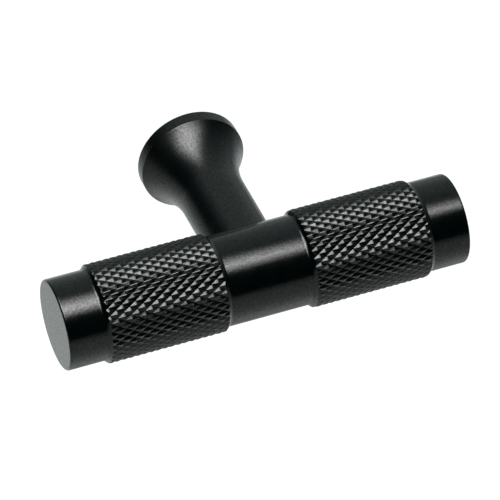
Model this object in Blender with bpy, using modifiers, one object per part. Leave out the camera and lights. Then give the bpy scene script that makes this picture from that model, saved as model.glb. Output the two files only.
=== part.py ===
"""Knurled T-bar cabinet knob: a knurled round bar on a flared post.

Metres. The origin is the centre of the foot's back face, which lies on the door: +Y points into the
door, the bar runs along X, and +Z is up.
"""

import math

import bmesh
import bpy
from mathutils import Vector

OBJECT_NAME = "knurled_t_knob"

# Bar
BAR_LENGTH = 0.0600
PLAIN_RADIUS = 0.00655
END_CAP_LENGTH = 0.0056
CENTRE_BAND_LENGTH = 0.0124
END_ROUNDING = 0.00030
BAR_AXIS_FROM_DOOR = 0.0273

# Knurled bands, proud of the plain bar
KNURL_RISE = 0.00058
KNURL_DEPTH = 0.00021
KNURL_WHEEL_PITCH = 0.0010
KNURL_HELIX = math.radians(30.0)
SHOULDER_ANGLE = math.radians(45.0)
SHOULDER_FILLET = 0.00035
LEFT_KNURL_PHASE = (0.30, 0.39)
RIGHT_KNURL_PHASE = (0.43, 0.14)

# Post
FOOT_RADIUS = 0.00785
FOOT_RIM_HEIGHT = 0.0021
FOOT_BACK_ROUNDING = 0.00025
FOOT_EDGE_BREAK = 0.00020
FLARE_ARC_RADIUS = 0.0155
STEM_RADIUS_AT_BAR = 0.00478
STEM_TAPER = math.radians(0.25)

# Joining stud, and the tapped holes at their nominal thread size
STUD_THREAD_RADIUS = 0.0025
STUD_GRIP_IN_BAR = 0.0060
STUD_GRIP_IN_POST = 0.0060
STUD_END_CHAMFER = 0.00050
STUD_SOCKET_ACROSS_FLATS = 0.0025
STUD_SOCKET_DEPTH = 0.0025
DOOR_SCREW_THREAD_RADIUS = 0.0020
HOLE_COUNTERSINK = 0.00040
WEB_BETWEEN_HOLES = 0.0018
DRILL_POINT = math.radians(118.0)

# Clearances
SEAT_GAP = 0.0003
STUD_END_ROOM = 0.0008
CUT_MARGIN = 0.0010

# Facets
BAR_STEPS = 64
POST_STEPS = 64
SMALL_STEPS = 32
ARC_STEP = math.radians(22.5)
FLARE_POINTS = 12
SHARP_ANGLE = math.radians(18.0)

# Finish: satin black coating, and the bare steel of the hidden stud
COATING_COLOUR = (0.018, 0.019, 0.020, 1.0)
COATING_ROUGHNESS = 0.38
STEEL_COLOUR = (0.30, 0.30, 0.31, 1.0)
STEEL_ROUGHNESS = 0.35

# Sizes that follow from the ones above
KNURL_TIP_RADIUS = PLAIN_RADIUS + KNURL_RISE
KNURL_ROOT_RADIUS = KNURL_TIP_RADIUS - KNURL_DEPTH
DIAMOND_LENGTH = KNURL_WHEEL_PITCH / math.sin(KNURL_HELIX)
DIAMOND_WIDTH = KNURL_WHEEL_PITCH / math.cos(KNURL_HELIX)
DIAMONDS_ROUND = round(2 * math.pi * (KNURL_TIP_RADIUS - KNURL_DEPTH / 2) / DIAMOND_WIDTH)
STUD_BACK = BAR_AXIS_FROM_DOOR - PLAIN_RADIUS - STUD_GRIP_IN_POST
STUD_FRONT = BAR_AXIS_FROM_DOOR - PLAIN_RADIUS + STUD_GRIP_IN_BAR


def clear_scene():
    for obj in list(bpy.data.objects):
        bpy.data.objects.remove(obj, do_unlink=True)


def new_collection(name):
    collection = bpy.data.collections.new(name)
    bpy.context.scene.collection.children.link(collection)
    return collection


def new_material(name, colour, roughness, metallic):
    material = bpy.data.materials.new(name)
    material.use_nodes = True
    shader = material.node_tree.nodes["Principled BSDF"]
    shader.inputs["Base Color"].default_value = colour
    shader.inputs["Roughness"].default_value = roughness
    shader.inputs["Metallic"].default_value = metallic
    return material


def new_axis(name, location, rotation):
    """An empty whose Z axis is the centre line of the turned pieces under it."""
    axis = bpy.data.objects.new(name, None)
    axis.location = location
    axis.rotation_euler = rotation
    axis.empty_display_size = PLAIN_RADIUS
    parts.objects.link(axis)
    return axis


def place(obj, axis, collection):
    collection.objects.link(obj)
    obj.parent = axis
    return obj


def as_cutter(obj, axis):
    obj.hide_render = True
    obj.display_type = "WIRE"
    return place(obj, axis, cutters)


def rounded_outline(corners):
    """Profile points (radius, height) of corners (radius, height, rounding), each rounding as an arc."""
    points = []
    for i, (radius, height, rounding) in enumerate(corners):
        corner = Vector((radius, height))
        if rounding == 0:
            points.append(corner)
            continue
        before = (Vector(corners[i - 1][:2]) - corner).normalized()
        after = (Vector(corners[i + 1][:2]) - corner).normalized()
        turn = math.pi - before.angle(after)
        centre = corner + (before + after).normalized() * rounding / math.cos(turn / 2)
        start = corner + before * rounding * math.tan(turn / 2) - centre
        sweep = turn if start.cross(after) > 0 else -turn
        steps = max(2, math.ceil(turn / ARC_STEP))
        for step in range(steps + 1):
            angle = sweep * step / steps
            cosine, sine = math.cos(angle), math.sin(angle)
            points.append(centre + Vector((start.x * cosine - start.y * sine, start.x * sine + start.y * cosine)))
    return points


def turned(name, corners, steps):
    """A solid of revolution about Z. The corners run down the outside, top to bottom, at +X."""
    points = rounded_outline(corners)
    mesh = bpy.data.meshes.new(name)
    edges = [(i, i + 1) for i in range(len(points) - 1)]
    mesh.from_pydata([(p.x, 0, p.y) for p in points], edges, [])
    obj = bpy.data.objects.new(name, mesh)
    screw = obj.modifiers.new("Turn", "SCREW")
    screw.axis = "Z"
    screw.angle = 2 * math.pi
    screw.steps = steps
    screw.render_steps = steps
    screw.use_merge_vertices = True
    screw.merge_threshold = 0.00001
    screw.use_smooth_shade = True
    return obj


def cut(obj, cutter, name):
    boolean = obj.modifiers.new(name, "BOOLEAN")
    boolean.operation = "DIFFERENCE"
    boolean.solver = "EXACT"
    boolean.object = cutter


def smooth_by_angle_nodes():
    """Nodes that shade a mesh smooth, except across edges sharper than SHARP_ANGLE."""
    group = bpy.data.node_groups.new("Smooth by angle", "GeometryNodeTree")
    group.interface.new_socket("Geometry", in_out="INPUT", socket_type="NodeSocketGeometry")
    group.interface.new_socket("Geometry", in_out="OUTPUT", socket_type="NodeSocketGeometry")
    source = group.nodes.new("NodeGroupInput")
    result = group.nodes.new("NodeGroupOutput")
    smooth_faces = group.nodes.new("GeometryNodeSetShadeSmooth")
    sharp_edges = group.nodes.new("GeometryNodeSetShadeSmooth")
    sharp_edges.domain = "EDGE"
    sharp_edges.inputs["Shade Smooth"].default_value = False
    edge_angle = group.nodes.new("GeometryNodeInputMeshEdgeAngle")
    is_sharp = group.nodes.new("FunctionNodeCompare")
    is_sharp.operation = "GREATER_THAN"
    is_sharp.inputs["B"].default_value = SHARP_ANGLE
    group.links.new(source.outputs["Geometry"], smooth_faces.inputs["Geometry"])
    group.links.new(smooth_faces.outputs["Geometry"], sharp_edges.inputs["Geometry"])
    group.links.new(edge_angle.outputs["Unsigned Angle"], is_sharp.inputs["A"])
    group.links.new(is_sharp.outputs["Result"], sharp_edges.inputs["Selection"])
    group.links.new(sharp_edges.outputs["Geometry"], result.inputs["Geometry"])
    return group


def finish(obj, material):
    obj.data.materials.append(material)
    smooth = obj.modifiers.new("Smooth by angle", "NODES")
    smooth.node_group = smooth_by_angle
    return obj


def hole_cutter(name, radius, mouth, bottom, axis, countersink=0.0):
    """A drilled hole from height mouth to height bottom, with a drill point and a countersunk mouth."""
    away = 1 if bottom > mouth else -1
    point = bottom + away * radius / math.tan(DRILL_POINT / 2)
    outer = mouth - away * CUT_MARGIN
    corners = [(0, point, 0), (radius, bottom, 0)]
    if countersink:
        corners.append((radius, mouth + away * countersink, 0))
        corners.append((radius + countersink + CUT_MARGIN, outer, 0))
    else:
        corners.append((radius, outer, 0))
    corners.append((0, outer, 0))
    if away < 0:
        corners.reverse()
    return as_cutter(turned(name, corners, SMALL_STEPS), axis)


def knurl_cutter(name, middle, length, phase, axis):
    """A ring whose bore is the knurled surface: what the two crossed rows of grooves take off the blank.

    The bore is a grid of half diamonds. Its nodes lie by turns where two grooves cross and on a tip, and
    each cell is split along its groove. phase is how far each row of grooves is turned, in pitches.
    """
    half_length = DIAMOND_LENGTH / 2
    half_turn = math.pi / DIAMONDS_ROUND
    shift = -half_length * (phase[0] + phase[1])
    twist = -half_turn * (phase[0] - phase[1])
    first = math.floor((middle - length / 2 - shift) / half_length) - 1
    cells_along = math.ceil(length / half_length) + 3
    cells_round = 2 * DIAMONDS_ROUND
    bm = bmesh.new()
    bmesh.ops.create_grid(bm, x_segments=cells_along, y_segments=cells_round, size=0.5)
    crossings = []
    for vert in bm.verts:
        along = first + round((vert.co.x + 0.5) * cells_along)
        around = round((vert.co.y + 0.5) * cells_round)
        is_tip = (along + around) % 2
        radius = KNURL_TIP_RADIUS if is_tip else KNURL_ROOT_RADIUS
        angle = twist + half_turn * around
        vert.co = (radius * math.cos(angle), radius * math.sin(angle), shift + half_length * along)
        if not is_tip:
            crossings.append(vert)
    bmesh.ops.connect_verts(bm, verts=crossings)
    bmesh.ops.remove_doubles(bm, verts=bm.verts, dist=0.00001)
    outside = bmesh.ops.extrude_face_region(bm, geom=bm.faces[:], use_keep_orig=True)["geom"]
    for vert in (item for item in outside if isinstance(item, bmesh.types.BMVert)):
        flat = vert.co.xy.normalized() * (KNURL_TIP_RADIUS + CUT_MARGIN)
        vert.co = (flat.x, flat.y, vert.co.z)
    bmesh.ops.recalc_face_normals(bm, faces=bm.faces)
    mesh = bpy.data.meshes.new(name)
    bm.to_mesh(mesh)
    bm.free()
    return as_cutter(bpy.data.objects.new(name, mesh), axis)


def bar_corners():
    """Half of the bar's outline mirrored: end cap, bevelled shoulders of a band and centre band."""
    blank_radius = KNURL_TIP_RADIUS + KNURL_DEPTH / 4
    bevel = (blank_radius - PLAIN_RADIUS) / math.tan(SHOULDER_ANGLE)
    cap_foot = BAR_LENGTH / 2 - END_CAP_LENGTH
    band_foot = CENTRE_BAND_LENGTH / 2
    half = [
        (0, BAR_LENGTH / 2, 0),
        (PLAIN_RADIUS, BAR_LENGTH / 2, END_ROUNDING),
        (PLAIN_RADIUS, cap_foot, SHOULDER_FILLET),
        (blank_radius, cap_foot - bevel, 0),
        (blank_radius, band_foot + bevel, 0),
        (PLAIN_RADIUS, band_foot, SHOULDER_FILLET),
    ]
    return half + [(radius, -height, rounding) for radius, height, rounding in reversed(half)]


def make_grip_bar(bar_axis, post_axis, material):
    bar = place(turned("grip_bar", bar_corners(), BAR_STEPS), bar_axis, parts)
    band_length = (BAR_LENGTH - CENTRE_BAND_LENGTH) / 2 - END_CAP_LENGTH
    band_middle = (CENTRE_BAND_LENGTH + band_length) / 2
    cut(bar, knurl_cutter("left_knurl", -band_middle, band_length, LEFT_KNURL_PHASE, bar_axis), "Left knurl")
    cut(bar, knurl_cutter("right_knurl", band_middle, band_length, RIGHT_KNURL_PHASE, bar_axis), "Right knurl")
    mouth = BAR_AXIS_FROM_DOOR - PLAIN_RADIUS
    stud_hole = hole_cutter("bar_stud_hole", STUD_THREAD_RADIUS, mouth, STUD_FRONT + STUD_END_ROOM, post_axis)
    cut(bar, stud_hole, "Stud hole")
    return finish(bar, material)


def flare_points():
    """The flare: an arc tangent to the tapered stem that ends on the front edge of the foot's rim.

    The arc's centre lies on the line that runs beside the stem at the arc's radius, and the arc ends on
    the rim's edge, which leaves one unknown: the centre's height.
    """
    slope = math.tan(STEM_TAPER)
    edge_radius = FOOT_RADIUS - FOOT_EDGE_BREAK
    line_radius = STEM_RADIUS_AT_BAR + slope * BAR_AXIS_FROM_DOOR + FLARE_ARC_RADIUS / math.cos(STEM_TAPER)
    overhang = line_radius - slope * FOOT_RIM_HEIGHT - edge_radius
    root = math.sqrt((FLARE_ARC_RADIUS / math.cos(STEM_TAPER)) ** 2 - overhang**2)
    centre_height = FOOT_RIM_HEIGHT + (slope * overhang + root) * math.cos(STEM_TAPER) ** 2
    centre_radius = line_radius - slope * centre_height
    end = math.acos((centre_radius - edge_radius) / FLARE_ARC_RADIUS)
    for i in range(FLARE_POINTS):
        angle = STEM_TAPER + (end - STEM_TAPER) * i / (FLARE_POINTS - 1)
        radius = centre_radius - FLARE_ARC_RADIUS * math.cos(angle)
        height = centre_height - FLARE_ARC_RADIUS * math.sin(angle)
        yield radius, height, 0


def post_corners():
    """The post's outline from the bar's axis down to the foot's back face."""
    return [
        (0, BAR_AXIS_FROM_DOOR, 0),
        (STEM_RADIUS_AT_BAR, BAR_AXIS_FROM_DOOR, 0),
        *flare_points(),
        (FOOT_RADIUS, FOOT_RIM_HEIGHT - FOOT_EDGE_BREAK, 0),
        (FOOT_RADIUS, 0, FOOT_BACK_ROUNDING),
        (0, 0, 0),
    ]


def make_post(bar_axis, post_axis, material):
    post = place(turned("post", post_corners(), POST_STEPS), post_axis, parts)
    saddle_radius = PLAIN_RADIUS + SEAT_GAP
    saddle_reach = CENTRE_BAND_LENGTH
    saddle = [
        (0, saddle_reach, 0),
        (saddle_radius, saddle_reach, 0),
        (saddle_radius, -saddle_reach, 0),
        (0, -saddle_reach, 0),
    ]
    cut(post, as_cutter(turned("saddle", saddle, BAR_STEPS), bar_axis), "Saddle")
    stud_hole_bottom = STUD_BACK - STUD_END_ROOM
    saddle_top = BAR_AXIS_FROM_DOOR - PLAIN_RADIUS
    stud_hole = hole_cutter("post_stud_hole", STUD_THREAD_RADIUS, saddle_top, stud_hole_bottom, post_axis)
    cut(post, stud_hole, "Stud hole")
    drill_points = (STUD_THREAD_RADIUS + DOOR_SCREW_THREAD_RADIUS) / math.tan(DRILL_POINT / 2)
    screw_hole_bottom = stud_hole_bottom - drill_points - WEB_BETWEEN_HOLES
    screw_hole = hole_cutter(
        "door_screw_hole", DOOR_SCREW_THREAD_RADIUS, 0, screw_hole_bottom, post_axis, HOLE_COUNTERSINK
    )
    cut(post, screw_hole, "Door screw hole")
    return finish(post, material)


def make_joining_stud(post_axis, material):
    core_radius = STUD_THREAD_RADIUS - SEAT_GAP
    end_radius = core_radius - STUD_END_CHAMFER
    corners = [
        (0, STUD_FRONT, 0),
        (end_radius, STUD_FRONT, 0),
        (core_radius, STUD_FRONT - STUD_END_CHAMFER, 0),
        (core_radius, STUD_BACK + STUD_END_CHAMFER, 0),
        (end_radius, STUD_BACK, 0),
        (0, STUD_BACK, 0),
    ]
    stud = place(turned("joining_stud", corners, SMALL_STEPS), post_axis, parts)
    bpy.ops.mesh.primitive_cylinder_add(
        vertices=6,
        radius=STUD_SOCKET_ACROSS_FLATS / math.sqrt(3),
        depth=STUD_SOCKET_DEPTH + CUT_MARGIN,
        location=(0, 0, STUD_BACK + (STUD_SOCKET_DEPTH - CUT_MARGIN) / 2),
    )
    socket = bpy.context.object
    socket.name = "hex_socket"
    for collection in list(socket.users_collection):
        collection.objects.unlink(socket)
    cut(stud, as_cutter(socket, post_axis), "Hex socket")
    return finish(stud, material)


clear_scene()
parts = new_collection(OBJECT_NAME)
cutters = new_collection(OBJECT_NAME + "_cutters")
coating = new_material("black_coating", COATING_COLOUR, COATING_ROUGHNESS, 0.0)
steel = new_material("steel", STEEL_COLOUR, STEEL_ROUGHNESS, 1.0)
smooth_by_angle = smooth_by_angle_nodes()

# The post's axis points away from the door, and the bar's axis lies along X
post_line = new_axis("post_axis", (0, 0, 0), (math.pi / 2, 0, 0))
bar_line = new_axis("bar_axis", (0, -BAR_AXIS_FROM_DOOR, 0), (0, math.pi / 2, 0))
make_grip_bar(bar_line, post_line, coating)
make_post(bar_line, post_line, coating)
make_joining_stud(post_line, steel)
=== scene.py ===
"""Looks of the knurled T-bar cabinet knob.

An add-on run as a script. Metres, in the frame of the packed model: the foot's back face lies on Y = 0,
the bar runs along X, and +Z is up.
"""

import math

import bmesh
import bpy
from bpy.props import FloatProperty, FloatVectorProperty, IntProperty, PointerProperty
from mathutils import Matrix, Vector


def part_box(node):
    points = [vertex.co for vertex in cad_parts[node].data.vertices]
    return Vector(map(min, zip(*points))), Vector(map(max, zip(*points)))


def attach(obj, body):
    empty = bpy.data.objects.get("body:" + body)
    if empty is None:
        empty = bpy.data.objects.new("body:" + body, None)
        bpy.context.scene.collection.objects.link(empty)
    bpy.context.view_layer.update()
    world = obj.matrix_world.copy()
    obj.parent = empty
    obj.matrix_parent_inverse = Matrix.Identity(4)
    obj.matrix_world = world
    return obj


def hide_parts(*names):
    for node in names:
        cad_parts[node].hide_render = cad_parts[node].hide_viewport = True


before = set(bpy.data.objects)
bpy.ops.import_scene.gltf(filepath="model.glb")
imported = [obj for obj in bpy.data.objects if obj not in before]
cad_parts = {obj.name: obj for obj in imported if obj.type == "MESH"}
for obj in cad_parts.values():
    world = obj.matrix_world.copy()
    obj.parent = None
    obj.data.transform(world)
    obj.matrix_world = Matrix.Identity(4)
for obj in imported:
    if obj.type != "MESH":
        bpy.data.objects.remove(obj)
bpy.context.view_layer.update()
BAR_LOW, BAR_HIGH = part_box("grip_bar")
POST_LOW, POST_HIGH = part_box("post")

bl_info = {
    "name": "Knurled T-bar knob",
    "version": (1, 0, 0),
    "blender": (4, 5, 0),
    "location": "3D View > Sidebar > Knob",
    "description": "Builds a knurled cabinet knob, its satin black finish and a studio round it",
    "category": "Add Mesh",
}

TURN = 2 * math.pi
MERGE_DISTANCE = 0.000002
# How far a cutter reaches past the surface that it cuts
CUT_MARGIN = 0.001
DRILL_POINT = math.radians(118.0)
HOLE_STEPS = 48
# Largest turn between two points of a rounding
ARC_STEP = math.radians(9.0)
FLARE_POINTS = 40
# Edges sharper than this aren't shaded smooth
SHARP_ANGLE = math.radians(28.0)
# A face at the knurl's height that leans along the bar more than this belongs to a shoulder
SHOULDER_LEAN = 0.5
# The door screw's thread: rows of points in a pitch, the share of half a pitch where a flank starts and
# ends, and the pitches of plain hole beyond it
THREAD_ROWS = 12
THREAD_FLANK = (0.25, 0.875)
THREAD_RUN_OUT = 1.5


class KnobBarSettings(bpy.types.PropertyGroup):
    """Sizes of the grip bar."""

    length: FloatProperty(
        name="Length",
        description="Length of the bar",
        default=BAR_HIGH.x - BAR_LOW.x,
        unit="LENGTH",
    )
    tip_radius: FloatProperty(
        name="Tip radius",
        description="Radius over the knurl's tips",
        default=(BAR_HIGH.z - BAR_LOW.z) / 2,
        unit="LENGTH",
    )
    from_door: FloatProperty(
        name="Axis from door",
        description="Distance of the bar's centre line from the door",
        default=-(BAR_LOW.y + BAR_HIGH.y) / 2,
        unit="LENGTH",
    )
    rise: FloatProperty(
        name="Rise of the bands",
        description="How far the knurl's tips stand above the plain bar",
        default=0.00058,
        unit="LENGTH",
    )
    cap_length: FloatProperty(
        name="End cap length",
        description="Length of the plain part at each end",
        default=0.0056,
        unit="LENGTH",
    )
    centre_length: FloatProperty(
        name="Centre band length",
        description="Length of the plain part in the middle",
        default=0.0124,
        unit="LENGTH",
    )
    end_rounding: FloatProperty(
        name="End rounding",
        description="Rounding of the edge of each end face",
        default=0.00030,
        unit="LENGTH",
    )
    shoulder_fillet: FloatProperty(
        name="Shoulder fillet",
        description="Fillet at the foot of each band's shoulder",
        default=0.00070,
        unit="LENGTH",
    )
    steps: IntProperty(
        name="Steps round",
        description="Facets round the turned surfaces",
        default=192,
        min=24,
    )


class KnobKnurlSettings(bpy.types.PropertyGroup):
    """The diamond knurl of both bands."""

    pitch: FloatProperty(
        name="Wheel pitch",
        description="Distance between grooves, measured square to them",
        default=0.0010,
        unit="LENGTH",
    )
    helix: FloatProperty(
        name="Helix",
        description="Angle of the grooves to the bar's axis",
        default=math.radians(30.0),
        subtype="ANGLE",
    )
    depth: FloatProperty(
        name="Depth",
        description="Depth of the grooves below sharp tips",
        default=0.00021,
        unit="LENGTH",
    )
    crest: FloatProperty(
        name="Crest",
        description="Half width of the worn ridges, as a share of half a diamond",
        default=0.08,
        min=0.02,
        max=0.3,
    )
    left_phase: FloatVectorProperty(
        name="Left phase",
        description="How far the two rows of grooves of the left band are turned, in pitches",
        default=(0.30, 0.39),
        size=2,
    )
    right_phase: FloatVectorProperty(
        name="Right phase",
        description="How far the two rows of grooves of the right band are turned, in pitches",
        default=(0.43, 0.14),
        size=2,
    )


class KnobPostSettings(bpy.types.PropertyGroup):
    """Sizes of the flared post."""

    foot_radius: FloatProperty(
        name="Foot radius",
        description="Radius of the foot's rim",
        default=(POST_HIGH.x - POST_LOW.x) / 2,
        unit="LENGTH",
    )
    rim_height: FloatProperty(
        name="Rim height",
        description="Height of the straight rim of the foot",
        default=0.0021,
        unit="LENGTH",
    )
    back_rounding: FloatProperty(
        name="Back rounding",
        description="Rounding of the rim's edge on the door",
        default=0.00025,
        unit="LENGTH",
    )
    edge_break: FloatProperty(
        name="Edge break",
        description="How far inside the rim's radius the flare's arc ends",
        default=0.00005,
        unit="LENGTH",
    )
    edge_rounding: FloatProperty(
        name="Edge rounding",
        description="Rounding of the edge between the rim and the flare",
        default=0.00020,
        unit="LENGTH",
    )
    flare_radius: FloatProperty(
        name="Flare radius",
        description="Radius of the hollow flare",
        default=0.0135,
        unit="LENGTH",
    )
    stem_radius: FloatProperty(
        name="Stem radius",
        description="Radius that the stem tapers to at the bar's axis",
        default=0.00478,
        unit="LENGTH",
    )
    taper: FloatProperty(
        name="Stem taper",
        description="Slope of the stem's side",
        default=math.radians(0.25),
        subtype="ANGLE",
    )
    seat: FloatProperty(
        name="Seat",
        description="Thickness of the joint line between the saddle and the bar",
        default=0.00002,
        unit="LENGTH",
    )
    steps: IntProperty(
        name="Steps round",
        description="Facets round the turned surfaces",
        default=160,
        min=24,
    )


class KnobHoleSettings(bpy.types.PropertyGroup):
    """The stud's holes and the threaded hole for the door screw."""

    stud_radius: FloatProperty(
        name="Stud hole radius",
        description="Radius of the stud's thread",
        default=0.0025,
        unit="LENGTH",
    )
    stud_grip: FloatProperty(
        name="Stud grip",
        description="How far the stud reaches into the bar and into the post",
        default=0.0060,
        unit="LENGTH",
    )
    end_room: FloatProperty(
        name="End room",
        description="Room at each end of the stud",
        default=0.0008,
        unit="LENGTH",
    )
    screw_radius: FloatProperty(
        name="Screw radius",
        description="Nominal radius of the door screw's thread",
        default=0.0020,
        unit="LENGTH",
    )
    screw_core: FloatProperty(
        name="Screw core",
        description="Radius of the bore inside the door screw's thread",
        default=0.00166,
        unit="LENGTH",
    )
    screw_pitch: FloatProperty(
        name="Screw pitch",
        description="Pitch of the door screw's thread",
        default=0.0007,
        unit="LENGTH",
    )
    screw_depth: FloatProperty(
        name="Screw depth",
        description="Depth of the door screw's hole before its drill point",
        default=0.00944,
        unit="LENGTH",
    )
    countersink: FloatProperty(
        name="Countersink",
        description="Depth of the countersink at the hole's mouth",
        default=0.0004,
        unit="LENGTH",
    )


class KnobFinishSettings(bpy.types.PropertyGroup):
    """Colour and grain of the coating and of the bare steel."""

    coating: FloatVectorProperty(
        name="Coating",
        description="Colour of the satin coating",
        default=(0.0004, 0.0014, 0.0013),
        subtype="COLOR",
        min=0.0,
        max=1.0,
    )
    bar_roughness: FloatProperty(
        name="Bar roughness",
        description="Roughness of the coating on the bar, between its grains",
        default=0.155,
        min=0.0,
        max=1.0,
    )
    post_roughness: FloatProperty(
        name="Post roughness",
        description="Roughness of the coating on the post, between its grains",
        default=0.275,
        min=0.0,
        max=1.0,
    )
    grain_size: FloatProperty(
        name="Grain size",
        description="Size of the blasted dimples under the coating",
        default=0.00028,
        unit="LENGTH",
    )
    grain_depth: FloatProperty(
        name="Grain depth",
        description="Depth of the blasted dimples under the coating",
        default=0.000014,
        unit="LENGTH",
        precision=7,
    )
    steel: FloatVectorProperty(
        name="Steel",
        description="Colour of the bare steel",
        default=(0.30, 0.30, 0.31),
        subtype="COLOR",
        min=0.0,
        max=1.0,
    )
    steel_roughness: FloatProperty(
        name="Steel roughness",
        description="Roughness of the turned steel",
        default=0.35,
        min=0.0,
        max=1.0,
    )


class KnobStageSettings(bpy.types.PropertyGroup):
    """Camera, lamp, room and floor."""

    azimuth: FloatProperty(
        name="Azimuth",
        description="Camera's angle round the knob, from straight in front of the door",
        default=math.radians(-20.702),
        subtype="ANGLE",
    )
    elevation: FloatProperty(
        name="Elevation",
        description="Camera's angle above the horizon",
        default=math.radians(41.764),
        subtype="ANGLE",
    )
    roll: FloatProperty(
        name="Roll",
        description="Camera's turn about its own axis",
        default=math.radians(-0.917),
        subtype="ANGLE",
    )
    distance: FloatProperty(
        name="Distance",
        description="Camera's distance from the knob",
        default=0.541886,
        unit="LENGTH",
    )
    offset: FloatVectorProperty(
        name="Offset",
        description="How far the camera stands right of and above the line to its target",
        default=(0.00305, -0.003805),
        size=2,
        subtype="TRANSLATION",
    )
    lens: FloatProperty(
        name="Lens",
        description="Focal length in millimetres on a 36 mm sensor",
        default=273.6,
    )
    lamp_radiance: FloatProperty(
        name="Lamp brightness",
        description="Brightness of the overhead soft box, where 1 is white",
        default=10.6,
    )
    lamp_size: FloatVectorProperty(
        name="Lamp size",
        description="Length and width of the overhead soft box",
        default=(1.266, 1.072),
        size=2,
        unit="LENGTH",
    )
    lamp_place: FloatVectorProperty(
        name="Lamp place",
        description="Middle of the soft box, from the bar's middle",
        default=(-0.090, -0.224, 0.95),
        size=3,
        subtype="TRANSLATION",
    )
    lamp_turn: FloatProperty(
        name="Lamp turn",
        description="Turn of the soft box in plan",
        default=-0.868,
        subtype="ANGLE",
    )
    lamp_middle: FloatProperty(
        name="Lamp middle",
        description="Share of the soft box that is fully bright, before it fades to its edges",
        default=0.176,
        min=0.0,
        max=0.99,
    )
    room_brightness: FloatProperty(
        name="Room brightness",
        description="Brightness of the room behind the knob, where 1 is white",
        default=0.38,
    )
    dark_brightness: FloatProperty(
        name="Dark side brightness",
        description="Brightness of the room on the camera's side, where 1 is white",
        default=0.001,
    )
    studio_colour: FloatVectorProperty(
        name="Studio colour",
        description="Colour of the room and of the floor in reflections",
        default=(0.88, 1.0, 0.98),
        subtype="COLOR",
        min=0.0,
        max=1.0,
    )
    floor_drop: FloatProperty(
        name="Floor drop",
        description="Height of the knob's centre line above the floor",
        default=0.20,
        unit="LENGTH",
    )
    floor_colour: FloatVectorProperty(
        name="Floor",
        description="Colour of the floor",
        default=(0.30, 0.30, 0.30),
        subtype="COLOR",
        min=0.0,
        max=1.0,
    )


SETTINGS = {
    "knob_bar": KnobBarSettings,
    "knob_knurl": KnobKnurlSettings,
    "knob_post": KnobPostSettings,
    "knob_holes": KnobHoleSettings,
    "knob_finish": KnobFinishSettings,
    "knob_stage": KnobStageSettings,
}


# Turned shapes


def bar_matrix(scene):
    """Turns a shape about Z into one about the bar's centre line."""
    return Matrix.Translation((0, -scene.knob_bar.from_door, 0)) @ Matrix.Rotation(math.pi / 2, 4, "Y")


def post_matrix():
    """Turns a shape about Z into one about the post's centre line, with +Z pointing away from the door."""
    return Matrix.Rotation(math.pi / 2, 4, "X")


def rounded_outline(corners):
    """Profile points (radius, height) of corners (radius, height, rounding), each rounding as an arc."""
    points = []
    for i, (radius, height, rounding) in enumerate(corners):
        corner = Vector((radius, height))
        if rounding == 0:
            points.append(corner)
            continue
        before = (Vector(corners[i - 1][:2]) - corner).normalized()
        after = (Vector(corners[i + 1][:2]) - corner).normalized()
        turn = math.pi - before.angle(after)
        centre = corner + (before + after).normalized() * rounding / math.cos(turn / 2)
        start = corner + before * rounding * math.tan(turn / 2) - centre
        sweep = turn if start.cross(after) > 0 else -turn
        steps = max(2, math.ceil(turn / ARC_STEP))
        for step in range(steps + 1):
            angle = sweep * step / steps
            cosine, sine = math.cos(angle), math.sin(angle)
            x = start.x * cosine - start.y * sine
            y = start.x * sine + start.y * cosine
            points.append(centre + Vector((x, y)))
    return points


def linked(name, data):
    """A new object in the scene's collection."""
    obj = bpy.data.objects.new(name, data)
    bpy.context.scene.collection.objects.link(obj)
    return obj


def bake(obj):
    """Applies the object's modifiers and leaves it a plain mesh."""
    graph = bpy.context.evaluated_depsgraph_get()
    mesh = bpy.data.meshes.new_from_object(obj.evaluated_get(graph), depsgraph=graph)
    old = obj.data
    obj.modifiers.clear()
    obj.data = mesh
    mesh.name = obj.name
    if old.users == 0:
        bpy.data.meshes.remove(old)


def turned(name, corners, steps, matrix):
    """A solid of revolution whose corners run down the outside, placed by matrix."""
    points = rounded_outline(corners)
    mesh = bpy.data.meshes.new(name)
    mesh.from_pydata([(p.x, 0, p.y) for p in points], [(i, i + 1) for i in range(len(points) - 1)], [])
    obj = linked(name, mesh)
    screw = obj.modifiers.new("Turn", "SCREW")
    screw.axis = "Z"
    screw.angle = TURN
    screw.steps = steps
    screw.render_steps = steps
    screw.use_merge_vertices = True
    screw.merge_threshold = MERGE_DISTANCE
    bake(obj)
    obj.data.transform(matrix)
    return obj


def outward(obj):
    """Merges doubles and turns the normals outward."""
    bm = bmesh.new()
    bm.from_mesh(obj.data)
    bmesh.ops.remove_doubles(bm, verts=bm.verts, dist=MERGE_DISTANCE)
    bmesh.ops.recalc_face_normals(bm, faces=bm.faces)
    bm.to_mesh(obj.data)
    bm.free()
    return obj


def cut(obj, cutters):
    """Takes the cutters off the object and deletes them."""
    for cutter in cutters:
        boolean = obj.modifiers.new(cutter.name, "BOOLEAN")
        boolean.operation = "DIFFERENCE"
        boolean.solver = "EXACT"
        boolean.object = cutter
    bake(obj)
    for cutter in cutters:
        mesh = cutter.data
        bpy.data.objects.remove(cutter)
        bpy.data.meshes.remove(mesh)


def drilled(name, radius, mouth, bottom):
    """A drill's shape on the post's axis, from height mouth to height bottom with its point beyond."""
    away = 1 if bottom > mouth else -1
    outer = mouth - away * CUT_MARGIN
    corners = [
        (0, bottom + away * radius / math.tan(DRILL_POINT / 2), 0),
        (radius, bottom, 0),
        (radius, outer, 0),
        (0, outer, 0),
    ]
    return outward(turned(name, corners, HOLE_STEPS, post_matrix()))


# Node trees


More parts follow.
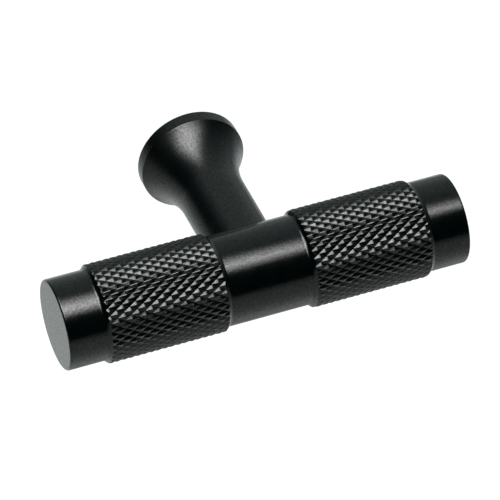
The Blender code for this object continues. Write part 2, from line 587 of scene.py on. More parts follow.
def new_tree(name, kind, inputs, outputs):
    """A node tree with an interface, and its group input and output nodes."""
    tree = bpy.data.node_groups.new(name, kind)
    for label, socket, default in inputs:
        item = tree.interface.new_socket(label, in_out="INPUT", socket_type=socket)
        if default is not None:
            item.default_value = default
    for label, socket in outputs:
        tree.interface.new_socket(label, in_out="OUTPUT", socket_type=socket)
    return tree, tree.nodes.new("NodeGroupInput"), tree.nodes.new("NodeGroupOutput")


def feed(tree, socket, value):
    """Links value to the socket, or sets it there when it is a constant."""
    if isinstance(value, bpy.types.NodeSocket):
        tree.links.new(value, socket)
    else:
        socket.default_value = value


def operation_node(tree, kind, operation, *values):
    """A Math or Vector Math node, with these inputs in order."""
    node = tree.nodes.new(kind)
    node.operation = operation
    for socket, value in zip(node.inputs, values):
        feed(tree, socket, value)
    return node


def calc(tree, operation, *values):
    """The result of a Math node."""
    return operation_node(tree, "ShaderNodeMath", operation, *values).outputs[0]


def fill(tree, node, **values):
    """Links or sets the node's named inputs. Underscores stand for spaces."""
    for label, value in values.items():
        feed(tree, node.inputs[label.replace("_", " ")], value)
    return node


def node_with(tree, kind, **values):
    """A new node with these inputs."""
    return fill(tree, tree.nodes.new(kind), **values)


def clamped(tree, value, low, high):
    """The value, kept between low and high."""
    return calc(tree, "MINIMUM", calc(tree, "MAXIMUM", value, low), high)


def differ(tree, one, other):
    """1 where two whole numbers differ, and 0 where they are the same."""
    return calc(tree, "GREATER_THAN", calc(tree, "ABSOLUTE", calc(tree, "SUBTRACT", one, other)), 0.5)


def ramp(tree, value, start, end, low=0.0, high=1.0, smooth=False):
    """Runs from low, where value is start, to high, where it is end, and stays level beyond them."""
    node = node_with(
        tree, "ShaderNodeMapRange", Value=value, From_Min=start, From_Max=end, To_Min=low, To_Max=high
    )
    if smooth:
        node.interpolation_type = "SMOOTHSTEP"
    return node.outputs[0]


def tinted(tree, colour, shade):
    """The colour, times shade."""
    node = operation_node(tree, "ShaderNodeVectorMath", "SCALE", colour)
    return fill(tree, node, Scale=shade).outputs[0]


def round_position(tree, radius, angle, height):
    """The position of cylinder coordinates about Z."""
    x = calc(tree, "MULTIPLY", radius, calc(tree, "COSINE", angle))
    y = calc(tree, "MULTIPLY", radius, calc(tree, "SINE", angle))
    return node_with(tree, "ShaderNodeCombineXYZ", X=x, Y=y, Z=height).outputs[0]


def index_grid(tree, rows, columns):
    """A grid of rows by columns points, with each point's whole row and column number."""
    row_span = calc(tree, "SUBTRACT", rows, 1)
    column_span = calc(tree, "SUBTRACT", columns, 1)
    grid = node_with(tree, "GeometryNodeMeshGrid", Size_X=row_span, Size_Y=column_span)
    fill(tree, grid, Vertices_X=rows, Vertices_Y=columns)
    place = tree.nodes.new("GeometryNodeInputPosition")
    split = node_with(tree, "ShaderNodeSeparateXYZ", Vector=place.outputs[0])
    row = calc(tree, "ROUND", calc(tree, "MULTIPLY_ADD", row_span, 0.5, split.outputs["X"]))
    column = calc(tree, "ROUND", calc(tree, "MULTIPLY_ADD", column_span, 0.5, split.outputs["Y"]))
    return grid.outputs["Mesh"], row, column


def close_up(tree, mesh, position, material, result):
    """Places the grid's points, closes its seams, splits its faces and gives it its material."""
    placed = node_with(tree, "GeometryNodeSetPosition", Geometry=mesh, Position=position)
    merged = node_with(
        tree, "GeometryNodeMergeByDistance", Geometry=placed.outputs["Geometry"], Distance=MERGE_DISTANCE
    )
    split = node_with(tree, "GeometryNodeTriangulate", Mesh=merged.outputs["Geometry"])
    split.quad_method = "SHORTEST_DIAGONAL"
    real = node_with(tree, "GeometryNodeRealizeInstances", Geometry=split.outputs["Mesh"])
    painted = node_with(tree, "GeometryNodeSetMaterial", Geometry=real.outputs[0], Material=material)
    fill(tree, result, Geometry=painted.outputs["Geometry"])


def third(tree, index, crest):
    """Splits a count of thirds into whole cells and the share of a cell: 0, crest or 1 - crest."""
    cell = calc(tree, "FLOOR", calc(tree, "DIVIDE", index, 3.0))
    part = calc(tree, "SUBTRACT", index, calc(tree, "MULTIPLY", cell, 3.0))
    # part * (crest + (part - 1) * (1 - 3 crest) / 2) is 0, crest and 1 - crest for 0, 1 and 2
    gap = calc(tree, "DIVIDE", calc(tree, "MULTIPLY_ADD", crest, -3.0, 1.0), 2.0)
    slope = calc(tree, "MULTIPLY_ADD", calc(tree, "SUBTRACT", part, 1.0), gap, crest)
    return cell, calc(tree, "MULTIPLY", part, slope)


def knurl_tree():
    """A ring whose bore is the knurl: what the two crossed rows of grooves take off the blank.

    Each cell of the grid is a half diamond. Grooves run along its diagonal, and worn ridges along its
    sides, so every cell is split in three each way.
    """
    tree, given, result = new_tree(
        "Knurl ring",
        "GeometryNodeTree",
        [
            ("Cells Along", "NodeSocketInt", 20),
            ("Cells Round", "NodeSocketInt", 76),
            ("First Cell", "NodeSocketInt", 0),
            ("Half Length", "NodeSocketFloat", 0.001),
            ("Half Turn", "NodeSocketFloat", 0.08),
            ("Shift", "NodeSocketFloat", 0.0),
            ("Twist", "NodeSocketFloat", 0.0),
            ("Tip Radius", "NodeSocketFloat", 0.007),
            ("Depth", "NodeSocketFloat", 0.0002),
            ("Crest", "NodeSocketFloat", 0.1),
            ("Outer Radius", "NodeSocketFloat", 0.008),
            ("Material", "NodeSocketMaterial", None),
        ],
        [("Geometry", "NodeSocketGeometry")],
    )
    get = given.outputs
    knurl_rows = calc(tree, "MULTIPLY_ADD", get["Cells Along"], 3.0, 1.0)
    rows = calc(tree, "ADD", knurl_rows, 3.0)
    columns = calc(tree, "MULTIPLY_ADD", get["Cells Round"], 3.0, 1.0)
    mesh, row, column = index_grid(tree, rows, columns)
    # The first row and the last two are the ring's outer wall, and the last one meets the first
    row = calc(tree, "SUBTRACT", calc(tree, "MODULO", row, calc(tree, "SUBTRACT", rows, 1.0)), 1.0)
    last = calc(tree, "SUBTRACT", knurl_rows, 1.0)
    bore_row = clamped(tree, row, 0.0, last)
    is_outer = differ(tree, row, bore_row)
    crest = get["Crest"]
    along_cell, along = third(tree, bore_row, crest)
    round_cell, around = third(tree, column, crest)
    along_cell = calc(tree, "ADD", along_cell, get["First Cell"])
    flat = calc(tree, "SUBTRACT", 1.0, crest)
    u = clamped(tree, around, crest, flat)
    v = clamped(tree, along, crest, flat)
    odd = calc(tree, "FLOORED_MODULO", calc(tree, "ADD", along_cell, round_cell), 2.0)
    v = calc(tree, "MULTIPLY_ADD", odd, calc(tree, "MULTIPLY_ADD", v, -2.0, 1.0), v)
    rise = calc(tree, "ABSOLUTE", calc(tree, "SUBTRACT", u, v))
    fall = calc(tree, "SUBTRACT", calc(tree, "MULTIPLY_ADD", crest, -2.0, 1.0), rise)
    radius = calc(tree, "SUBTRACT", get["Tip Radius"], calc(tree, "MULTIPLY", get["Depth"], fall))
    step_out = calc(tree, "MULTIPLY", is_outer, calc(tree, "SUBTRACT", get["Outer Radius"], radius))
    radius = calc(tree, "ADD", radius, step_out)
    turns = calc(tree, "ADD", round_cell, around)
    angle = calc(tree, "MULTIPLY_ADD", get["Half Turn"], turns, get["Twist"])
    lengths = calc(tree, "ADD", along_cell, along)
    height = calc(tree, "MULTIPLY_ADD", get["Half Length"], lengths, get["Shift"])
    close_up(tree, mesh, round_position(tree, radius, angle, height), get["Material"], result)
    return tree


def threaded_hole_tree():
    """A tap's shape from a countersunk mouth at height 0 to a drill point, about Z."""
    tree, given, result = new_tree(
        "Threaded hole",
        "GeometryNodeTree",
        [
            ("Rows", "NodeSocketInt", 160),
            ("Columns", "NodeSocketInt", HOLE_STEPS + 1),
            ("Row Height", "NodeSocketFloat", 0.00006),
            ("Mouth", "NodeSocketFloat", -0.001),
            ("Pitch", "NodeSocketFloat", 0.0007),
            ("Core Radius", "NodeSocketFloat", 0.00166),
            ("Thread Radius", "NodeSocketFloat", 0.002),
            ("Thread Length", "NodeSocketFloat", 0.008),
            ("Countersink", "NodeSocketFloat", 0.0004),
            ("Point Length", "NodeSocketFloat", 0.001),
            ("Material", "NodeSocketMaterial", None),
        ],
        [("Geometry", "NodeSocketGeometry")],
    )
    get = given.outputs
    mesh, row, column = index_grid(tree, get["Rows"], get["Columns"])
    # The first row is the middle of the mouth's lid, and the last one the drill point
    last = calc(tree, "SUBTRACT", get["Rows"], 1.0)
    wall_row = clamped(tree, row, 1.0, calc(tree, "SUBTRACT", last, 1.0))
    steps = calc(tree, "SUBTRACT", wall_row, 1.0)
    height = calc(tree, "MULTIPLY_ADD", steps, get["Row Height"], get["Mouth"])
    share = calc(tree, "DIVIDE", column, calc(tree, "SUBTRACT", get["Columns"], 1.0))
    phase = calc(tree, "FRACT", calc(tree, "SUBTRACT", calc(tree, "DIVIDE", height, get["Pitch"]), share))
    wave = calc(tree, "ABSOLUTE", calc(tree, "MULTIPLY_ADD", phase, 2.0, -1.0))
    groove = ramp(tree, wave, *THREAD_FLANK)
    left = calc(tree, "DIVIDE", calc(tree, "SUBTRACT", get["Thread Length"], height), get["Pitch"])
    fade = node_with(tree, "ShaderNodeClamp", Value=left).outputs[0]
    cut_depth = calc(tree, "SUBTRACT", get["Thread Radius"], get["Core Radius"])
    thread = calc(tree, "MULTIPLY", cut_depth, calc(tree, "MULTIPLY", groove, fade))
    radius = calc(tree, "ADD", get["Core Radius"], thread)
    mouth_radius = calc(tree, "ADD", get["Thread Radius"], get["Countersink"])
    radius = calc(tree, "MAXIMUM", radius, calc(tree, "SUBTRACT", mouth_radius, height))
    is_end = differ(tree, row, wall_row)
    radius = calc(tree, "MULTIPLY", radius, calc(tree, "SUBTRACT", 1.0, is_end))
    is_point = calc(tree, "GREATER_THAN", row, calc(tree, "SUBTRACT", last, 0.5))
    height = calc(tree, "MULTIPLY_ADD", is_point, get["Point Length"], height)
    angle = calc(tree, "MULTIPLY", share, TURN)
    close_up(tree, mesh, round_position(tree, radius, angle, height), get["Material"], result)
    return tree


def from_tree(name, tree, values, matrix):
    """A plain mesh object made by a geometry node tree with these inputs."""
    obj = linked(name, bpy.data.meshes.new(name))
    nodes = obj.modifiers.new("Nodes", "NODES")
    nodes.node_group = tree
    for item in tree.interface.items_tree:
        if item.in_out == "INPUT" and item.name in values:
            nodes[item.identifier] = values[item.name]
    bake(obj)
    obj.data.transform(matrix)
    return outward(obj)


def knurl_ring(scene, name, middle, length, phase, material):
    """The cutter of one band, on the bar's axis."""
    knurl, bar = scene.knob_knurl, scene.knob_bar
    half_length = knurl.pitch / math.sin(knurl.helix) / 2
    middle_radius = bar.tip_radius - knurl.depth / 2
    diamonds = round(TURN * middle_radius * math.cos(knurl.helix) / knurl.pitch)
    half_turn = math.pi / diamonds
    shift = -half_length * (phase[0] + phase[1])
    # The ring reaches past both ends of the band, by one cell or more
    values = {
        "Cells Along": math.ceil(length / half_length) + 3,
        "Cells Round": 2 * diamonds,
        "First Cell": math.floor((middle - length / 2 - shift) / half_length) - 1,
        "Half Length": half_length,
        "Half Turn": half_turn,
        "Shift": shift,
        "Twist": -half_turn * (phase[0] - phase[1]),
        "Tip Radius": bar.tip_radius,
        "Depth": knurl.depth,
        "Crest": knurl.crest,
        "Outer Radius": bar.tip_radius + CUT_MARGIN,
        "Material": material,
    }
    return from_tree(name, shared_tree("Knurl ring", knurl_tree), values, bar_matrix(scene))


def shared_tree(name, make):
    """The node tree of that name, made on first use."""
    return bpy.data.node_groups.get(name) or make()


# Materials

# The coating: fine grains with dimples between them, and clouds of grain many times as wide
CLOUD_SCALE = 0.12
DIMPLE_SHARE = 0.5
GRAIN_RANGE = (0.25, 0.75)
GRAIN_GLINT = (0.15, 0.85)
CLOUD_RANGE = (0.3, 0.7)
CLOUD_SHADE = (0.85, 1.15)
CLOUD_ROUGHNESS = 0.10
COATING_SPECULAR = 0.25

# The bare steel: turning marks and faint stains
MARK_DEPTH = 0.000002
STAIN_SCALE = 900.0
STAIN_SHADE = (0.4, 0.8)
STAIN_ROUGHNESS = 0.3


def grain_group():
    """Blasted dimples under a coating: their height, roughness, colour and glint at a point in space."""
    tree, given, result = new_tree(
        "Blasted grain",
        "ShaderNodeTree",
        [
            ("Vector", "NodeSocketVector", None),
            ("Color", "NodeSocketColor", (0.0, 0.0, 0.0, 1.0)),
            ("Roughness", "NodeSocketFloat", 0.35),
            ("Grain Size", "NodeSocketFloat", 0.0002),
            ("Grain Depth", "NodeSocketFloat", 0.000004),
        ],
        [
            ("Color", "NodeSocketColor"),
            ("Roughness", "NodeSocketFloat"),
            ("Height", "NodeSocketFloat"),
            ("Coat", "NodeSocketFloat"),
        ],
    )
    get = given.outputs
    scale = calc(tree, "DIVIDE", 1.0, get["Grain Size"])
    fine = node_with(tree, "ShaderNodeTexNoise", Vector=get["Vector"], Scale=scale, Detail=1.0)
    cloud_scale = calc(tree, "MULTIPLY", scale, CLOUD_SCALE)
    clouds = node_with(tree, "ShaderNodeTexNoise", Vector=get["Vector"], Scale=cloud_scale, Detail=3.0)
    dimples = node_with(tree, "ShaderNodeTexVoronoi", Vector=get["Vector"], Scale=scale, Randomness=1.0)
    dimples.feature = "SMOOTH_F1"
    relief = calc(tree, "MULTIPLY_ADD", dimples.outputs["Distance"], DIMPLE_SHARE, fine.outputs[0])
    height = calc(tree, "MULTIPLY", relief, get["Grain Depth"])
    glint = ramp(tree, fine.outputs[0], *GRAIN_RANGE, *GRAIN_GLINT)
    uneven = calc(tree, "SUBTRACT", clouds.outputs[0], 0.5)
    spread = calc(tree, "MULTIPLY_ADD", uneven, CLOUD_ROUGHNESS, get["Roughness"])
    shade = ramp(tree, clouds.outputs[0], *CLOUD_RANGE, *CLOUD_SHADE)
    colour = tinted(tree, get["Color"], shade)
    fill(tree, result, Color=colour, Roughness=spread, Height=height, Coat=glint)
    return tree


def turning_group():
    """Fine turning marks round the post's axis: their height, roughness and colour at a point in space."""
    tree, given, result = new_tree(
        "Turning marks",
        "ShaderNodeTree",
        [
            ("Vector", "NodeSocketVector", None),
            ("Color", "NodeSocketColor", (0.3, 0.3, 0.3, 1.0)),
            ("Roughness", "NodeSocketFloat", 0.35),
            ("Feed", "NodeSocketFloat", 0.0001),
        ],
        [("Color", "NodeSocketColor"), ("Roughness", "NodeSocketFloat"), ("Height", "NodeSocketFloat")],
    )
    get = given.outputs
    split = node_with(tree, "ShaderNodeSeparateXYZ", Vector=get["Vector"])
    turns = calc(tree, "DIVIDE", split.outputs["Y"], get["Feed"])
    wave = calc(tree, "SINE", calc(tree, "MULTIPLY", turns, TURN))
    stains = node_with(tree, "ShaderNodeTexNoise", Vector=get["Vector"], Scale=STAIN_SCALE, Detail=4.0)
    height = calc(tree, "MULTIPLY", wave, MARK_DEPTH)
    uneven = calc(tree, "SUBTRACT", stains.outputs[0], 0.5)
    spread = calc(tree, "MULTIPLY_ADD", uneven, STAIN_ROUGHNESS, get["Roughness"])
    shade = calc(tree, "MULTIPLY_ADD", stains.outputs[0], *STAIN_SHADE)
    fill(tree, result, Color=tinted(tree, get["Color"], shade), Roughness=spread, Height=height)
    return tree


def textured_material(name, group, values, metallic):
    """A Principled material whose colour, roughness and bump come from a shared shader group."""
    material = bpy.data.materials.get(name + "_finish")
    if material:
        return material
    material = bpy.data.materials.new(name + "_finish")
    material.use_nodes = True
    tree = material.node_tree
    shader = tree.nodes["Principled BSDF"]
    place = tree.nodes.new("ShaderNodeTexCoord")
    texture = tree.nodes.new("ShaderNodeGroup")
    texture.node_tree = group
    fill(tree, texture, Vector=place.outputs["Object"], **values)
    looks = texture.outputs
    bump = node_with(tree, "ShaderNodeBump", Distance=1.0, Height=looks["Height"])
    fill(tree, shader, Base_Color=looks["Color"], Roughness=looks["Roughness"], Normal=bump.outputs[0])
    shader.inputs["Metallic"].default_value = metallic
    if "Coat" in looks:
        tree.links.new(looks["Coat"], shader.inputs["Coat Weight"])
        shader.inputs["Coat Roughness"].default_value = values["Roughness"]
        shader.inputs["Specular IOR Level"].default_value = COATING_SPECULAR
    return material


def coating_material(scene, name, roughness):
    """The satin black coating, with the roughness that it has on one piece."""
    finish = scene.knob_finish
    values = {
        "Color": (*finish.coating, 1.0),
        "Roughness": roughness,
        "Grain Size": finish.grain_size,
        "Grain Depth": finish.grain_depth,
    }
    return textured_material(name, shared_tree("Blasted grain", grain_group), values, 0.0)


def steel_material(scene):
    """The hidden stud's bare, turned steel."""
    finish = scene.knob_finish
    values = {"Color": (*finish.steel, 1.0), "Roughness": finish.steel_roughness}
    return textured_material("steel", shared_tree("Turning marks", turning_group), values, 1.0)


def facet_knurl(scene, mesh):
    """Shades the knurl flat: the faces at its height that don't lean along the bar like a shoulder."""
    lowest = scene.knob_bar.tip_radius - scene.knob_knurl.depth - MERGE_DISTANCE
    for face in mesh.polygons:
        height = math.hypot(face.center.y + scene.knob_bar.from_door, face.center.z)
        face.use_smooth = height < lowest or abs(face.normal.x) > SHOULDER_LEAN


def finished(obj, material, node, facet=None):
    """Shades a piece, gives it its one material, and puts it in the frame in place of a CAD node."""
    outward(obj)
    mesh = obj.data
    mesh.shade_smooth()
    mesh.set_sharp_from_angle(angle=SHARP_ANGLE)
    if facet:
        facet(bpy.context.scene, mesh)
    weighted = obj.modifiers.new("Flat faces stay flat", "WEIGHTED_NORMAL")
    weighted.keep_sharp = True
    bake(obj)
    obj.data.materials.clear()
    obj.data.materials.append(material)
    obj.data.polygons.foreach_set("material_index", [0] * len(obj.data.polygons))
    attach(obj, "root")
    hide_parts(node)


# Operators


class KNOB_OT_grip_bar(bpy.types.Operator):
    """Turns and knurls the grip bar"""

    bl_idname = "knob.grip_bar"
    bl_label = "Grip bar"

    def execute(self, context):
        scene = context.scene
        bar, knurl, holes = scene.knob_bar, scene.knob_knurl, scene.knob_holes
        material = coating_material(scene, "bar_coating", scene.knob_finish.bar_roughness)
        plain_radius = bar.tip_radius - bar.rise
        # The blank stands a little proud of the tips, so that the knurl takes its whole surface off
        blank_radius = bar.tip_radius + knurl.depth / 4
        bevel = blank_radius - plain_radius
        end = bar.length / 2
        cap_foot = end - bar.cap_length
        band_foot = bar.centre_length / 2
        half = [
            (0, end, 0),
            (plain_radius, end, bar.end_rounding),
            (plain_radius, cap_foot, bar.shoulder_fillet),
            (blank_radius, cap_foot - bevel, 0),
            (blank_radius, band_foot + bevel, 0),
            (plain_radius, band_foot, bar.shoulder_fillet),
        ]
        corners = half + [(radius, -height, rounding) for radius, height, rounding in reversed(half)]
        obj = outward(turned("grip_bar_surface", corners, bar.steps, bar_matrix(scene)))
        length = cap_foot - band_foot
        middle = (cap_foot + band_foot) / 2
        left = knurl_ring(scene, "left_knurl", -middle, length, knurl.left_phase, material)
        right = knurl_ring(scene, "right_knurl", middle, length, knurl.right_phase, material)
        mouth = bar.from_door - plain_radius
        bottom = mouth + holes.stud_grip + holes.end_room
        hole = drilled("bar_stud_hole", holes.stud_radius, mouth, bottom)
        cut(obj, [left, right, hole])
        finished(obj, material, "grip_bar", facet_knurl)
        return {"FINISHED"}


class KNOB_OT_post(bpy.types.Operator):
    """Turns the flared post, fits its saddle to the bar and cuts its holes"""

    bl_idname = "knob.post"
    bl_label = "Post"

    def execute(self, context):
        scene = context.scene
        bar, post, holes = scene.knob_bar, scene.knob_post, scene.knob_holes
        material = coating_material(scene, "post_coating", scene.knob_finish.post_roughness)
        plain_radius = bar.tip_radius - bar.rise
        corners = [
            (0, bar.from_door, 0),
            (post.stem_radius, bar.from_door, 0),
            *flare_points(bar, post),
            (post.foot_radius, 0, post.back_rounding),
            (0, 0, 0),
        ]
        obj = outward(turned("post_surface", corners, post.steps, post_matrix()))
        saddle_radius = plain_radius + post.seat
        reach = bar.centre_length
        corners = [(0, reach, 0), (saddle_radius, reach, 0), (saddle_radius, -reach, 0), (0, -reach, 0)]
        saddle = outward(turned("saddle", corners, bar.steps, bar_matrix(scene)))
        mouth = bar.from_door - plain_radius
        bottom = mouth - holes.stud_grip - holes.end_room
        stud_hole = drilled("post_stud_hole", holes.stud_radius, mouth, bottom)
        row_height = holes.screw_pitch / THREAD_ROWS
        wall_rows = round((holes.screw_depth + CUT_MARGIN) / row_height) + 1
        values = {
            "Rows": wall_rows + 2,
            "Columns": HOLE_STEPS + 1,
            "Row Height": row_height,
            "Mouth": holes.screw_depth - (wall_rows - 1) * row_height,
            "Pitch": holes.screw_pitch,
            "Core Radius": holes.screw_core,
            "Thread Radius": holes.screw_radius,
            "Thread Length": holes.screw_depth - THREAD_RUN_OUT * holes.screw_pitch,
            "Countersink": holes.countersink,
            "Point Length": holes.screw_core / math.tan(DRILL_POINT / 2),
            "Material": material,
        }
        tree = shared_tree("Threaded hole", threaded_hole_tree)
        screw_hole = from_tree("door_screw_hole", tree, values, post_matrix())
        cut(obj, [saddle, stud_hole, screw_hole])
        finished(obj, material, "post")
        return {"FINISHED"}


def flare_points(bar, post):
    """The flare: an arc tangent to the tapered stem, and the rounded edge between it and the foot's rim."""
    slope = math.tan(post.taper)
    edge_radius = post.foot_radius - post.edge_break
    line_radius = post.stem_radius + slope * bar.from_door + post.flare_radius / math.cos(post.taper)
    overhang = line_radius - slope * post.rim_height - edge_radius
    root = math.sqrt((post.flare_radius / math.cos(post.taper)) ** 2 - overhang**2)
    centre_height = post.rim_height + (slope * overhang + root) * math.cos(post.taper) ** 2
    centre_radius = line_radius - slope * centre_height
    end = math.acos((centre_radius - edge_radius) / post.flare_radius)
    for i in range(FLARE_POINTS):
        angle = post.taper + (end - post.taper) * i / (FLARE_POINTS - 1)
        radius = centre_radius - post.flare_radius * math.cos(angle)
        height = centre_height - post.flare_radius * math.sin(angle)
        yield radius, height, 0
    yield post.foot_radius, post.rim_height - post.edge_break / math.tan(end), post.edge_rounding


class KNOB_OT_joining_stud(bpy.types.Operator):
    """Gives the hidden stud its turned steel"""

    bl_idname = "knob.joining_stud"
    bl_label = "Joining stud"

    def execute(self, context):
        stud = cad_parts["joining_stud"]
        material = steel_material(context.scene)
        for slot in stud.material_slots:
            slot.material = material
        return {"FINISHED"}


class KNOB_OT_stage(bpy.types.Operator):
    """Sets up the floor, the room, the soft box and the camera"""

    bl_idname = "knob.stage"
    bl_label = "Studio"

    def execute(self, context):
        scene = context.scene
        stage = scene.knob_stage
        make_floor(stage)
        make_room(scene, stage)
        make_lamp(scene, stage)
        make_camera(scene, stage)
        scene.view_settings.view_transform = "Standard"
        return {"FINISHED"}


FLOOR_RADIUS = 3.0
FLOOR_STEPS = 64
FLOOR_ROUGHNESS = 0.9
# The floor as the camera sees it: how far out it starts and stops whitening, and its brightness there
WHITE_REACH = (0.3, 1.2)
WHITE_RANGE = (0.78, 1.0)
# The floor in reflections: a strip of painted light that runs back from the knob, pale floor round it, and
# a painted shadow below the bar. Sides, ends and reach are where each starts to change and where it has
# fully changed.
STRIP_MIDDLE = 0.05
STRIP_WIDENING = 0.10
STRIP_SIDES = (0.47, 0.05)
STRIP_ENDS = (-0.30, 0.10)
STRIP_BRIGHTNESS = 0.265
PALE_BRIGHTNESS = 0.130
# Painted shadow: where the floor's glow in reflections dims below the bar
PAINTED_SHADOW_MIDDLE = (0.05, 0.06)
PAINTED_SHADOW_REACH = (0.03, 0.13)
PAINTED_SHADOW_DIMMING = -0.40
# The room: how far behind and how far right of the knob a direction points where it starts to be bright
# and where it is fully bright
ROOM_BEHIND = (-0.40, 0.68)
ROOM_RIGHT = (-0.64, -0.18)
SENSOR_WIDTH = 36.0
CLIP_START = 0.01
# The camera's target, as a share of the way from the door to the bar
TARGET_SHARE = 0.6


def studio_white(tree, path, stage):
    """White for the camera, and a cool white for what the knob reflects."""
    mix = tree.nodes.new("ShaderNodeMix")
    mix.data_type = "RGBA"
    # Inputs 6 and 7 and output 2 are the node's colours
    tree.links.new(path.outputs["Is Camera Ray"], mix.inputs[0])
    mix.inputs[6].default_value = (*stage.studio_colour, 1.0)
    mix.inputs[7].default_value = (1.0, 1.0, 1.0, 1.0)
    return mix.outputs[2]


def make_floor(stage):
    """A round floor, white to the camera, and to whatever reflects it a pale grey glow with painted light
    and a painted shadow.
    """
    mesh = bpy.data.meshes.new("floor")
    bm = bmesh.new()
    bmesh.ops.create_circle(bm, cap_ends=True, radius=FLOOR_RADIUS, segments=FLOOR_STEPS)
    bmesh.ops.translate(bm, verts=bm.verts, vec=(0, 0, -stage.floor_drop))
    bm.to_mesh(mesh)
    bm.free()
    material = bpy.data.materials.new("floor")
    material.use_nodes = True
    tree = material.node_tree
    shader = tree.nodes["Principled BSDF"]
    shader.inputs["Base Color"].default_value = (*stage.floor_colour, 1.0)
    shader.inputs["Roughness"].default_value = FLOOR_ROUGHNESS
    shader.inputs["Specular IOR Level"].default_value = 0.0
    place = tree.nodes.new("ShaderNodeTexCoord").outputs["Object"]
    path = tree.nodes.new("ShaderNodeLightPath")
    away = operation_node(tree, "ShaderNodeVectorMath", "LENGTH", place).outputs["Value"]
    white = ramp(tree, away, *WHITE_REACH, *WHITE_RANGE)
    camera = calc(tree, "MULTIPLY", path.outputs["Is Camera Ray"], white)
    shiny = calc(tree, "MAXIMUM", path.outputs["Is Glossy Ray"], path.outputs["Is Transmission Ray"])
    # Painted reflection: the floor glows for what reflects it, with a painted pool of light and a painted
    # shadow
    painted_reflection = calc(tree, "MULTIPLY", shiny, painted_floor_reflection(tree, place, stage))
    strength = calc(tree, "MAXIMUM", camera, painted_reflection)
    fill(tree, shader, Emission_Color=studio_white(tree, path, stage), Emission_Strength=strength)
    mesh.materials.append(material)
    linked("floor", mesh)


def painted_floor_reflection(tree, place, stage):
    """The floor's glow in reflections: a strip of painted light, pale floor round it and a painted shadow
    below the bar.
    """
    split = node_with(tree, "ShaderNodeSeparateXYZ", Vector=place)
    aside = calc(tree, "ABSOLUTE", calc(tree, "ADD", split.outputs["X"], -STRIP_MIDDLE))
    aside = calc(tree, "MULTIPLY_ADD", split.outputs["Y"], -STRIP_WIDENING, aside)
    across = ramp(tree, aside, *STRIP_SIDES, smooth=True)
    along = ramp(tree, split.outputs["Y"], *STRIP_ENDS, smooth=True)
    # Painted light: a strip of floor that glows brighter in reflections
    painted_light_strip = calc(tree, "MULTIPLY", across, along)
    bright = calc(tree, "MULTIPLY_ADD", painted_light_strip, STRIP_BRIGHTNESS, PALE_BRIGHTNESS)
    # Painted shadow: the floor glows less in reflections below the bar
    middle = (*PAINTED_SHADOW_MIDDLE, -stage.floor_drop)
    away = operation_node(tree, "ShaderNodeVectorMath", "DISTANCE", place, middle).outputs["Value"]
    return calc(tree, "ADD", bright, ramp(tree, away, *PAINTED_SHADOW_REACH, PAINTED_SHADOW_DIMMING, 0.0, smooth=True))


def make_room(scene, stage):
    """Bright behind the knob and on its right, dark elsewhere, and white for the camera."""
    world = bpy.data.worlds.new("room")
    world.use_nodes = True
    scene.world = world
    tree = world.node_tree
    background = tree.nodes["Background"]
    place = tree.nodes.new("ShaderNodeTexCoord")
    split = node_with(tree, "ShaderNodeSeparateXYZ", Vector=place.outputs["Generated"])
    behind = ramp(tree, split.outputs["Y"], *ROOM_BEHIND, smooth=True)
    right = ramp(tree, split.outputs["X"], *ROOM_RIGHT, smooth=True)
    bright = calc(tree, "MULTIPLY", behind, right)
    room = calc(tree, "MULTIPLY_ADD", bright, stage.room_brightness, stage.dark_brightness)
    path = tree.nodes.new("ShaderNodeLightPath")
    strength = calc(tree, "MAXIMUM", room, path.outputs["Is Camera Ray"])
    fill(tree, background, Color=studio_white(tree, path, stage), Strength=strength)


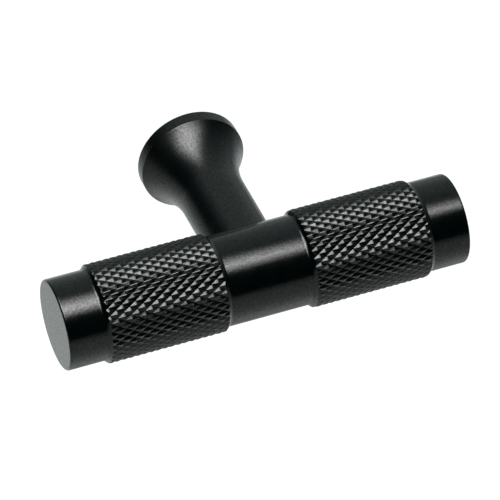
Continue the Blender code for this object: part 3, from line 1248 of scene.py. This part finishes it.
def make_lamp(scene, stage):
    """The overhead soft box, bright in its middle and fading to its edges."""
    data = bpy.data.lights.new("soft_box", "AREA")
    data.shape = "RECTANGLE"
    data.size, data.size_y = stage.lamp_size
    area = data.size * data.size_y
    data.energy = stage.lamp_radiance * math.pi * area
    data.use_nodes = True
    tree = data.node_tree
    place = tree.nodes.new("ShaderNodeNewGeometry")
    split = node_with(tree, "ShaderNodeSeparateXYZ", Vector=place.outputs["Parametric"])
    across = calc(tree, "ABSOLUTE", calc(tree, "MULTIPLY_ADD", split.outputs["X"], 2.0, -1.0))
    along = calc(tree, "ABSOLUTE", calc(tree, "MULTIPLY_ADD", split.outputs["Y"], 2.0, -1.0))
    fade = ramp(tree, calc(tree, "MAXIMUM", across, along), 1.0, stage.lamp_middle, smooth=True)
    fill(tree, tree.nodes["Emission"], Strength=fade)
    lamp = linked("soft_box", data)
    lamp.rotation_euler.z = stage.lamp_turn
    lamp.location = Vector((0, -scene.knob_bar.from_door, 0)) + Vector(stage.lamp_place)
    lamp.visible_camera = False


def make_camera(scene, stage):
    """The camera, at the photo's angle."""
    data = bpy.data.cameras.new("camera")
    data.lens = stage.lens
    data.sensor_width = SENSOR_WIDTH
    data.clip_start = CLIP_START
    camera = linked("camera", data)
    azimuth, elevation = stage.azimuth, stage.elevation
    level = math.cos(elevation)
    back = Vector((math.sin(azimuth) * level, -math.cos(azimuth) * level, math.sin(elevation)))
    right = Vector((0, 0, 1)).cross(back).normalized()
    turn = Matrix.Rotation(stage.roll, 3, back)
    right = turn @ right
    up = back.cross(right)
    target = Vector((0, -TARGET_SHARE * scene.knob_bar.from_door, 0))
    spot = target + right * stage.offset[0] + up * stage.offset[1] + back * stage.distance
    camera.matrix_world = Matrix((right, up, back)).transposed().to_4x4()
    camera.location = spot
    scene.camera = camera


class VIEW3D_PT_knob(bpy.types.Panel):
    """The knob's settings and buttons."""

    bl_label = "Knurled knob"
    bl_idname = "VIEW3D_PT_knob"
    bl_space_type = "VIEW_3D"
    bl_region_type = "UI"
    bl_category = "Knob"

    def draw(self, context):
        for attribute, group in SETTINGS.items():
            box = self.layout.box()
            box.label(text=group.__doc__)
            for name in group.__annotations__:
                box.prop(getattr(context.scene, attribute), name)
        for operator in OPERATORS:
            self.layout.operator(operator.bl_idname)


OPERATORS = (KNOB_OT_grip_bar, KNOB_OT_post, KNOB_OT_joining_stud, KNOB_OT_stage)


def register():
    for group in (*SETTINGS.values(), *OPERATORS, VIEW3D_PT_knob):
        bpy.utils.register_class(group)
    for attribute, group in SETTINGS.items():
        setattr(bpy.types.Scene, attribute, PointerProperty(type=group))


def unregister():
    for attribute in SETTINGS:
        delattr(bpy.types.Scene, attribute)
    for group in reversed((*SETTINGS.values(), *OPERATORS, VIEW3D_PT_knob)):
        bpy.utils.unregister_class(group)


def main():
    register()
    bpy.ops.knob.grip_bar()
    bpy.ops.knob.post()
    bpy.ops.knob.joining_stud()
    bpy.ops.knob.stage()


if __name__ == "__main__":
    main()
